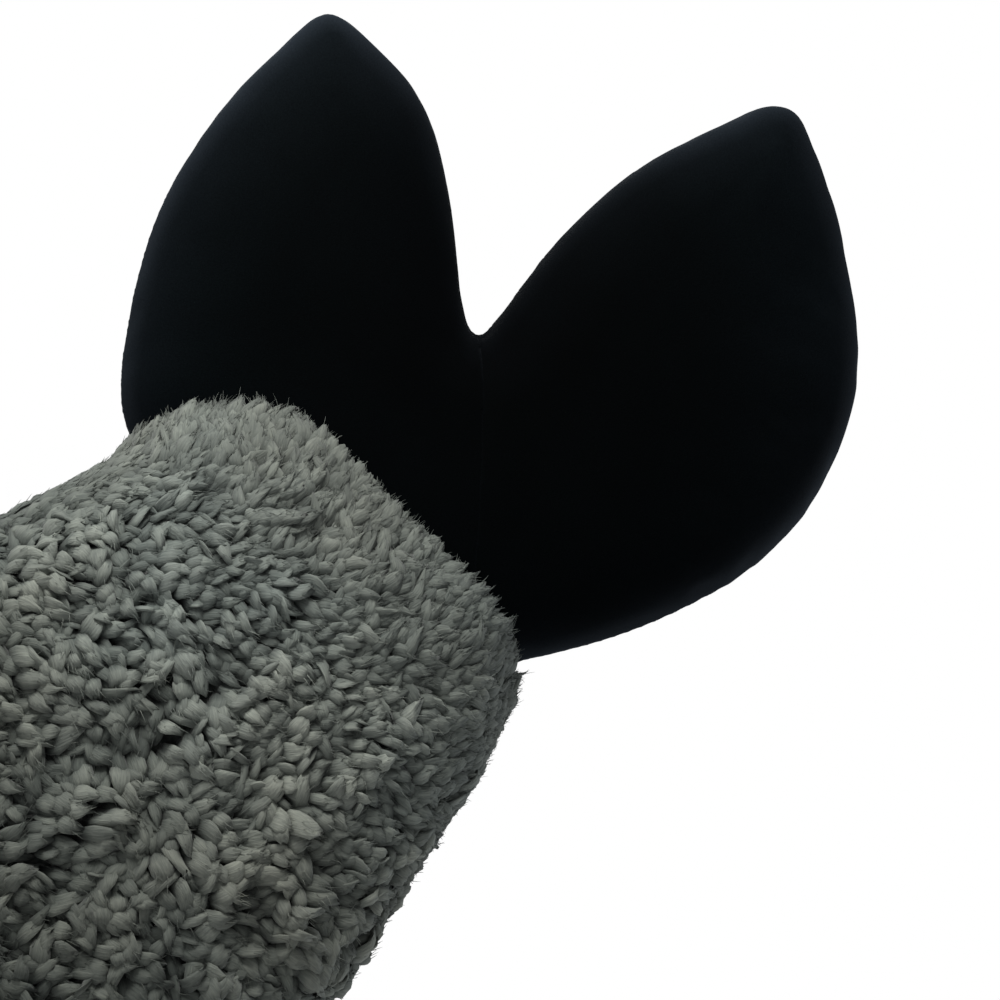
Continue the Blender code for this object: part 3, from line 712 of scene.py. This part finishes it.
def grow_fuzz(centre, normal, cross, heading, half, flat, tones, rng):
    """Loose fibres that stand off their lock and soften its edge."""
    lock = np.repeat(np.arange(len(centre)), FUZZ_EACH)
    count = len(lock)
    cross = cross[lock]
    normal = normal[lock]
    heading = heading[lock]
    ring = rng.integers(2, len(PILE_RINGS) - 1, count)
    side = rng.uniform(-0.9, 0.9, count)
    reach = half[lock, ring, 0]
    start = (
        centre[lock, ring]
        + cross * (reach * side)[:, None]
        + normal * (reach * flat[lock] * np.sqrt(1 - side ** 2))[:, None]
    )
    length = rng.uniform(*FUZZ_LENGTH, count)
    bend = rng.normal(0, 0.30, count)
    stand = rng.uniform(0.0, 0.30, count)
    t = FUZZ_RINGS[None, :]
    path = (
        start[:, None, :]
        + heading[:, None, :] * (length[:, None] * t * 0.9)[..., None]
        + cross[:, None, :] * (length[:, None] * bend[:, None] * t ** 1.6)[..., None]
        + normal[:, None, :] * (length[:, None] * stand[:, None] * t - 0.15)[..., None]
    )
    around = 2 * math.pi * np.arange(FUZZ_SIDES) / FUZZ_SIDES
    radius = (FUZZ_RADIUS * FUZZ_TAPER)[None, :, None, None]
    spread = (cross[:, None, None, :] * np.cos(around)[None, None, :, None]
              + normal[:, None, None, :] * np.sin(around)[None, None, :, None])
    vertices = path[:, :, None, :] + spread * radius
    vertices[..., 2] = np.maximum(vertices[..., 2], 0.6)
    tone = np.ones((*vertices.shape[:3], 4), dtype=np.float32)
    shade = rng.uniform(0.75, 1.15, (count, 1, 1, 1))
    # Each loose fibre takes its lock's painted shade and tone where it leaves the lock.
    tone[..., :2] = tones[lock, ring, 2, :2][:, None, None, :] * shade
    return vertices, tone, vertices.copy()


def tube_quads(count, rings, sides, first):
    """Quads of many closed tubes, with their end caps, from this vertex on."""
    one = []
    for k in range(rings - 1):
        for i in range(sides):
            j = (i + 1) % sides
            one.append((k * sides + i, k * sides + j, (k + 1) * sides + j, (k + 1) * sides + i))
    top = (rings - 1) * sides
    for i in range(1, sides - 2, 2):
        one.append((top, top + i, top + i + 1, top + i + 2))
        one.append((0, i + 2, i + 1, i))
    shift = first + np.arange(count) * sides * rings
    return (np.array(one)[None] + shift[:, None, None]).reshape(-1, 4)


def pile_piece(name, locks, fuzz, material):
    """One mesh of locks and loose fibres, with their tones and fibre places as attributes."""
    parts = [np.concatenate([lock.reshape(-1, lock.shape[-1]), loose.reshape(-1, loose.shape[-1])])
             for lock, loose in zip(locks, fuzz)]
    first = locks[0].size // 3
    quads = np.concatenate([
        tube_quads(len(locks[0]), len(PILE_RINGS), PILE_SIDES, 0),
        tube_quads(len(fuzz[0]), len(FUZZ_RINGS), FUZZ_SIDES, first),
    ])
    piece = quads_object(name, parts[0] * MM, quads, material)
    layer = piece.data.color_attributes.new("pile", "FLOAT_COLOR", "POINT")
    layer.data.foreach_set("color", parts[1].astype(np.float32).ravel())
    place = piece.data.attributes.new("fibre_place", "FLOAT_VECTOR", "POINT")
    place.data.foreach_set("vector", parts[2].astype(np.float32).ravel())
    return piece


def blend_lower(piece):
    """Bake the piece's placement into its mesh; used for the pieces below SPLIT."""
    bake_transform(piece)


def blend_upper(piece):
    """Bake the piece's placement into its mesh; used for the pieces above SPLIT."""
    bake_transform(piece)


def make_pile(material):
    """All locks, in pieces cut round the sleeve, below and above SPLIT."""
    angle, z, spacing = pile_roots()
    locks, fuzz = grow_locks(angle, z, spacing, np.random.default_rng(SEED + 10))
    sector_of = angle / (2 * math.pi)
    for label, chosen, sectors, blend in (
        ("lower", z < SPLIT, LOWER_SECTORS, blend_lower),
        ("upper", z >= SPLIT, UPPER_SECTORS, blend_upper),
    ):
        for sector in range(sectors):
            own = chosen & (sector_of >= sector / sectors) & (sector_of < (sector + 1) / sectors)
            own_fuzz = np.repeat(own, FUZZ_EACH)
            piece = pile_piece(f"fleece_pile_{label}_{sector + 1}", [part[own] for part in locks],
                               [part[own_fuzz] for part in fuzz], material)
            blend(piece)


def make_ground(material):
    """Knitted ground that the pile grows on, cut at SPLIT."""
    angles, _ = even_angles(EVEN_HEIGHT, GROUND_SIDES)
    for label, low, high, rings, blend, nodes in (
        ("lower", CUFF_HEIGHT - 2.0, SPLIT, 36, blend_lower,
         ("sleeve_panel_front", "sleeve_panel_back")),
        ("upper", SPLIT, None, 26, blend_upper,
         ("hem_panel_front", "hem_panel_back", "wrist_panel_front", "wrist_panel_back")),
    ):
        grid = []
        inner = []
        for k in range(rings + 1):
            top = high if high else hem_top(angles) - HEM_TRIM
            z = low + (top - low) * k / rings + 0 * angles
            ring = ground(angles, z)
            grid.append(ring)
            inward = ring.copy()
            inward[:, 0] = ring[:, 0] + (table("centre", z) - ring[:, 0]) * GROUND_THIN_WIDE
            inward[:, 1] = ring[:, 1] * (1 - GROUND_THIN_DEEP)
            inner.append(inward)
        piece = closed_tube(f"fleece_ground_{label}", np.array(grid), np.array(inner), material)
        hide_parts(*nodes)
        blend(piece)


# --- Lining and cuff ------------------------------------------------------------------------------
def make_lining(material):
    """Thin sleeve of jersey inside the fleece, with small rucks, cut at SPLIT."""
    angles, _ = even_angles(EVEN_HEIGHT, LINING_SIDES)
    for label, low, high, blend, nodes in (
        ("lower", 3.0, SPLIT, blend_lower, ("sleeve_lining",)),
        ("upper", SPLIT, TUCK_BOTTOM, blend_upper, ("wrist_lining", "wrist_tunnel")),
    ):
        outer = []
        inner = []
        for k in range(LINING_RINGS + 1):
            z = np.full_like(angles, low + (high - low) * k / LINING_RINGS)
            points = section(angles, z, LINING_INSET)
            rucks = RUCK_HEIGHT * waves(points, RUCK_SIZE, SEED + 20)
            rucks += PLEAT_HEIGHT * np.sin(angles * PLEATS + z / PLEAT_LEAN)
            outer.append(section(angles, z, LINING_INSET + LINING_SLACK + rucks))
            inner.append(section(angles, z, LINING_INSET + LINING_SLACK + LINING_THICKNESS + rucks))
        piece = closed_tube(f"arm_lining_{label}", np.array(outer), np.array(inner), material)
        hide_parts(*nodes)
        blend(piece)


def make_cuff(binding, thread):
    """Folded binding round the bottom edge, with a line of stitches."""
    angles, length = even_angles(5.0, CUFF_SIDES)
    middle = (CUFF_OUTER_INSET + CUFF_INNER_INSET) / 2
    half = (CUFF_INNER_INSET - CUFF_OUTER_INSET) / 2
    profile = [(CUFF_OUTER_INSET, CUFF_HEIGHT), (CUFF_OUTER_INSET, STITCH_HEIGHT)]
    for k in range(15):
        turn = math.pi * k / 14
        profile.append((middle - half * math.cos(turn), CUFF_FOLD * (1 - math.sin(turn))))
    profile += [(CUFF_INNER_INSET, STITCH_HEIGHT), (CUFF_INNER_INSET, CUFF_HEIGHT)]
    outer = []
    inner = []
    for index, (inset, z) in enumerate(profile):
        towards = 1 if index < len(profile) / 2 else -1
        pucker = PUCKER_HEIGHT * np.sin(angles * PUCKERS) * (z > PUCKERS_FROM)
        heights = np.full_like(angles, z)
        outer.append(section(angles, heights, inset + pucker))
        inner_heights = np.maximum(heights, CUFF_THICKNESS)
        inner.append(section(angles, inner_heights, inset + towards * CUFF_THICKNESS + pucker))
    piece = closed_tube("cuff_binding_cloth", np.array(outer), np.array(inner), binding)
    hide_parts("cuff_binding")
    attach(piece, "sleeve")
    make_stitches(int(length / STITCH_PITCH), thread)


def make_stitches(count, thread):
    """A running line of short stitches, each a small rounded bar that dips at its ends."""
    around, _ = even_angles(STITCH_HEIGHT, count)
    step = 2 * math.pi / count
    vertices = []
    faces = []
    sides = 6
    rings = 6
    for start in around:
        first = len(vertices)
        for k in range(rings + 1):
            t = k / rings
            inset = STITCH_INSET - STITCH_BULGE * math.sin(math.pi * t)
            along = start + step * STITCH_SHARE * t
            point = section(np.array([along]), np.array([STITCH_HEIGHT]), inset)[0]
            radius = STITCH_RADIUS * (0.45 + 0.55 * math.sin(math.pi * t))
            normal = np.array([point[0] - table("centre", STITCH_HEIGHT), point[1] * 4, 0.0])
            normal /= np.linalg.norm(normal)
            for i in range(sides):
                turn = 2 * math.pi * i / sides
                offset = normal * math.cos(turn) * radius + np.array([0, 0, 1]) * math.sin(turn) * radius
                vertices.append((point + offset) * MM)
        for k in range(rings):
            for i in range(sides):
                j = (i + 1) % sides
                low = first + k * sides
                faces.append((low + i, low + j, low + sides + j, low + sides + i))
        faces.append(tuple(first + i for i in reversed(range(sides))))
        faces.append(tuple(first + rings * sides + i for i in range(sides)))
    piece = mesh_object("cuff_stitches", vertices, faces, thread)
    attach(piece, "sleeve")


# --- Head -----------------------------------------------------------------------------------------
# Name, side of the fold, body, direction from the notch along the lobe, and the solids replaced.
HEAD_HALVES = (
    ("head_cover_finger_side", 1, "upper_jaw", (0.485, 0.875),
     ("finger_cover_front", "finger_cover_back", "palm_cover_front", "palm_cover_back")),
    ("head_cover_thumb_side", -1, "lower_jaw", (-0.829, 0.559),
     ("thumb_cover_front", "thumb_cover_back")),
)


def head_blank():
    """Closed pillow on the head's outline, before the cloth is inflated."""
    low = OUTLINE.min(axis=0)
    high = OUTLINE.max(axis=0)
    xs = np.arange(low[0], high[0], HEAD_STEP)
    zs = np.arange(low[1], high[1], HEAD_STEP)
    cells = np.array([(x + (row % 2) * HEAD_STEP / 2, z) for row, z in enumerate(zs) for x in xs])
    cells = cells[inside_head(cells)]
    cells = cells[rim_distance(cells) > 0.45 * HEAD_STEP]
    plan = np.vstack([OUTLINE, cells])
    rim = len(OUTLINE)
    edges = [(i, (i + 1) % rim) for i in range(rim)]
    found = delaunay_2d_cdt([Vector(point) for point in plan], edges, [list(range(rim))], 1, 1e-5)
    points = np.array([tuple(point) for point in found[0]])
    triangles = [tuple(face) for face in found[2]]
    depth = head_depth(points)
    depth[rim_distance(points) < 0.05] = 0.0
    open_bottom = points[:, 1] < TUCK_BOTTOM - 11.9
    depth[open_bottom] = HEAD_HALF_DEPTH * 0.8
    front = np.stack([points[:, 0], -np.maximum(depth, 0.2), points[:, 1]], axis=1)
    back = front * np.array([1, -1, 1])
    count = len(points)
    faces = triangles + [tuple(count + corner for corner in reversed(face)) for face in triangles]
    seen = {}
    for face in triangles:
        for a, b in zip(face, face[1:] + face[:1]):
            seen[(a, b)] = seen.get((a, b), 0) + 1
    for a, b in list(seen):
        if (b, a) not in seen:
            faces.append((b, a, count + a, count + b))
    return np.vstack([front, back]) * MM, faces


def inflate(piece):
    """Blow the cloth up a little and keep each point within the cap of where it was."""
    before = read_vectors(piece.data, "co")
    held = piece.vertex_groups.new(name="held")
    low = np.flatnonzero(before[:, 2] < (TUCK_BOTTOM + 4) * MM)
    held.add([int(i) for i in low], 1.0, "REPLACE")
    seam = np.flatnonzero(np.abs(before[:, 1]) < 1.6 * MM)
    held.add([int(i) for i in seam], 0.85, "REPLACE")
    cloth = piece.modifiers.new("cloth", "CLOTH")
    cloth.settings.vertex_group_mass = "held"
    cloth.settings.use_pressure = True
    cloth.settings.uniform_pressure_force = CLOTH_PRESSURE
    cloth.settings.effector_weights.gravity = 0.0
    cloth.settings.quality = 5
    scene = bpy.context.scene
    for number in range(1, CLOTH_FRAMES + 1):
        scene.frame_set(number)
    apply_modifiers(piece)
    scene.frame_set(1)
    move = read_vectors(piece.data, "co") - before
    size = np.linalg.norm(move, axis=1, keepdims=True)
    move *= np.minimum(1.0, CLOTH_CAP * MM / np.maximum(size, 1e-9))
    write_places(piece.data, before + move)
    piece.vertex_groups.clear()


def smooth_mesh(piece, repeat):
    """Even out the mesh a number of times."""
    smoother = piece.modifiers.new("smooth", "SMOOTH")
    smoother.factor = 0.5
    smoother.iterations = repeat
    apply_modifiers(piece)


def press_seam(piece):
    """A narrow groove along the rim, where the front and back panels are sewn together."""
    places = read_vectors(piece.data, "co")
    normals = read_vectors(piece.data, "normal")
    inset = np.exp(-(places[:, 1] / (SEAM_WIDTH * MM)) ** 2) * (np.abs(normals[:, 1]) < 0.8)
    places -= normals * (inset * SEAM_DEPTH * MM)[:, None]
    write_places(piece.data, places)


def press_crease(piece):
    """The soft fold that runs from the notch down towards the finger side."""
    places = read_vectors(piece.data, "co")
    heading = np.array([math.cos(CREASE_TURN), math.sin(CREASE_TURN)])
    offset = places[:, [0, 2]] / MM - NOTCH
    forward = offset @ heading
    sideways = offset @ np.array([-heading[1], heading[0]])
    fade = np.clip(1 - forward / CREASE_LENGTH, 0, 1) * (forward > -6)
    strength = np.exp(-(sideways / CREASE_HALF_WIDTH) ** 2) * fade
    places[:, 1] *= 1 - CREASE_DEPTH * strength
    write_places(piece.data, places)


def cut_away(piece, point, normal):
    """Keep the part of a mesh on the side the normal points to."""
    body = bmesh.new()
    body.from_mesh(piece.data)
    bmesh.ops.bisect_plane(body, geom=body.verts[:] + body.edges[:] + body.faces[:], dist=1e-6,
                           plane_co=point, plane_no=normal, clear_inner=True)
    body.to_mesh(piece.data)
    body.free()
    piece.data.update()


def make_head(velour):
    """Padded head: one inflated cloth, then a piece for each jaw that meets at the notch."""
    vertices, faces = head_blank()
    blank = mesh_object("head_blank", vertices, faces, velour)
    remesh = blank.modifiers.new("remesh", "REMESH")
    remesh.mode = "VOXEL"
    remesh.voxel_size = HEAD_VOXEL * MM
    apply_modifiers(blank)
    smooth_mesh(blank, SMOOTH_BEFORE)
    inflate(blank)
    smooth_mesh(blank, SMOOTH_AFTER)
    press_seam(blank)
    press_crease(blank)
    cut_away(blank, (0, 0, TUCK_BOTTOM * MM), (0, 0, 1))
    start = (NOTCH[0] * MM, 0, NOTCH[1] * MM)
    for name, side, body, outward, covers in HEAD_HALVES:
        half = bpy.data.objects.new(name, blank.data.copy())
        bpy.context.scene.collection.objects.link(half)
        cut_away(half, start, (-side * math.sin(CREASE_TURN), 0, side * math.cos(CREASE_TURN)))
        shell = half.modifiers.new("shell", "SOLIDIFY")
        shell.thickness = COVER_THICKNESS * MM
        shell.offset = -1
        apply_modifiers(half)
        half.data.shade_smooth()
        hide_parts(*covers)
        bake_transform(half)
    bpy.data.objects.remove(blank, do_unlink=True)


# --- Inside of the head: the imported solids, with cloth materials ----------------------------------
def dress_inside(lining, wadding, thread):
    """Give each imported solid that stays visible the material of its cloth."""
    for node in frame["nodes"]:
        piece = bpy.data.objects.get(node)
        if piece is None:
            continue
        if "_pad_" in node:
            piece.data.materials[0] = wadding
        elif "lining" in node or "pocket" in node or "tunnel" in node:
            piece.data.materials[0] = lining
        elif node == "mouth_tack":
            piece.data.materials[0] = thread


# --- Stage, light and camera ----------------------------------------------------------------------
CAMERA_TARGET = Vector((0.0360, 0.0, 0.2875))
CAMERA_DISTANCE = 0.60
CAMERA_RISE = math.radians(15.0)       # it looks up at the puppet
CAMERA_ROLL = math.radians(45.0)       # the forearm runs to the upper right
CAMERA_LENS = 75.0
FLOOR_REACH = 40.0
FLOOR_GLOW = 0.42
WORLD_FILL = 0.24
# Name, place, watts, size and colour of each lamp.
LIGHTS = (
    ("key", (-0.24, -0.22, 0.43), 1.9, 0.20, (1.0, 1.0, 0.98)),
    ("rim", (0.75, 0.30, 0.70), 3.0, 0.50, (0.90, 0.95, 1.0)),
    ("back_fill", (-0.3, 1.1, 0.7), 5.0, 0.7, (1.0, 1.0, 1.0)),
)


def make_stage():
    """Pale floor under a white sky that lights the puppet only a little."""
    corners = [(x * FLOOR_REACH, y * FLOOR_REACH, 0) for x, y in ((-1, -1), (1, -1), (1, 1), (-1, 1))]
    floor = mesh_object("floor", corners, [(0, 1, 2, 3)], floor_material(), smooth=False)
    floor.location.z = -0.0005
    bpy.context.scene.view_settings.view_transform = "Standard"
    world = bpy.data.worlds.new("studio")
    bpy.context.scene.world = world
    world.use_nodes = True
    tree = world.node_tree
    seen = tree.nodes["Background"]
    seen.inputs["Color"].default_value = (1.0, 1.0, 1.0, 1.0)
    seen.inputs["Strength"].default_value = 1.0
    fill = tree.nodes.new("ShaderNodeBackground")
    fill.inputs["Color"].default_value = (0.96, 0.98, 1.0, 1.0)
    fill.inputs["Strength"].default_value = WORLD_FILL
    ray = tree.nodes.new("ShaderNodeLightPath")
    mix = tree.nodes.new("ShaderNodeMixShader")
    tree.links.new(ray.outputs["Is Camera Ray"], mix.inputs[0])
    tree.links.new(fill.outputs[0], mix.inputs[1])
    tree.links.new(seen.outputs[0], mix.inputs[2])
    tree.links.new(mix.outputs[0], tree.nodes["World Output"].inputs["Surface"])


def add_light(name, place, energy, size, colour):
    """A square lamp that faces the puppet and can not be seen itself."""
    data = bpy.data.lights.new(name, "AREA")
    data.energy = energy
    data.size = size
    data.color = colour
    lamp = bpy.data.objects.new(name, data)
    lamp.location = place
    lamp.rotation_euler = (CAMERA_TARGET - Vector(place)).to_track_quat("-Z", "Y").to_euler()
    lamp.visible_camera = False
    bpy.context.scene.collection.objects.link(lamp)


def make_camera():
    """Camera in front of the head, looking up at it and rolled."""
    data = bpy.data.cameras.new("camera")
    data.lens = CAMERA_LENS
    data.sensor_width = 36.0
    camera = bpy.data.objects.new("camera", data)
    forward = Vector((0.0, math.cos(CAMERA_RISE), math.sin(CAMERA_RISE)))
    right = Vector((1.0, 0.0, 0.0))
    up = right.cross(forward)
    roll = Matrix.Rotation(-CAMERA_ROLL, 3, forward)
    right = roll @ right
    up = roll @ up
    turn = Matrix((right, up, -forward)).transposed().to_4x4()
    camera.matrix_world = Matrix.Translation(CAMERA_TARGET - forward * CAMERA_DISTANCE) @ turn
    bpy.context.scene.collection.objects.link(camera)
    bpy.context.scene.camera = camera


def build():
    """Make every piece, then the stage."""
    velour = velour_material()
    thread = thread_material()
    lining = knit_material("jersey_lining", (0.018, 0.019, 0.020), (0.050, 0.053, 0.055), 0.0012)
    binding = knit_material("binding_tape", (0.030, 0.033, 0.031), (0.085, 0.092, 0.087), 0.0009)
    make_ground(fleece_base_material())
    make_pile(fleece_pile_material())
    make_lining(lining)
    make_cuff(binding, thread)
    make_head(velour)
    dress_inside(lining, wadding_material(), thread)
    make_stage()
    for light in LIGHTS:
        add_light(*light)
    make_camera()


build()
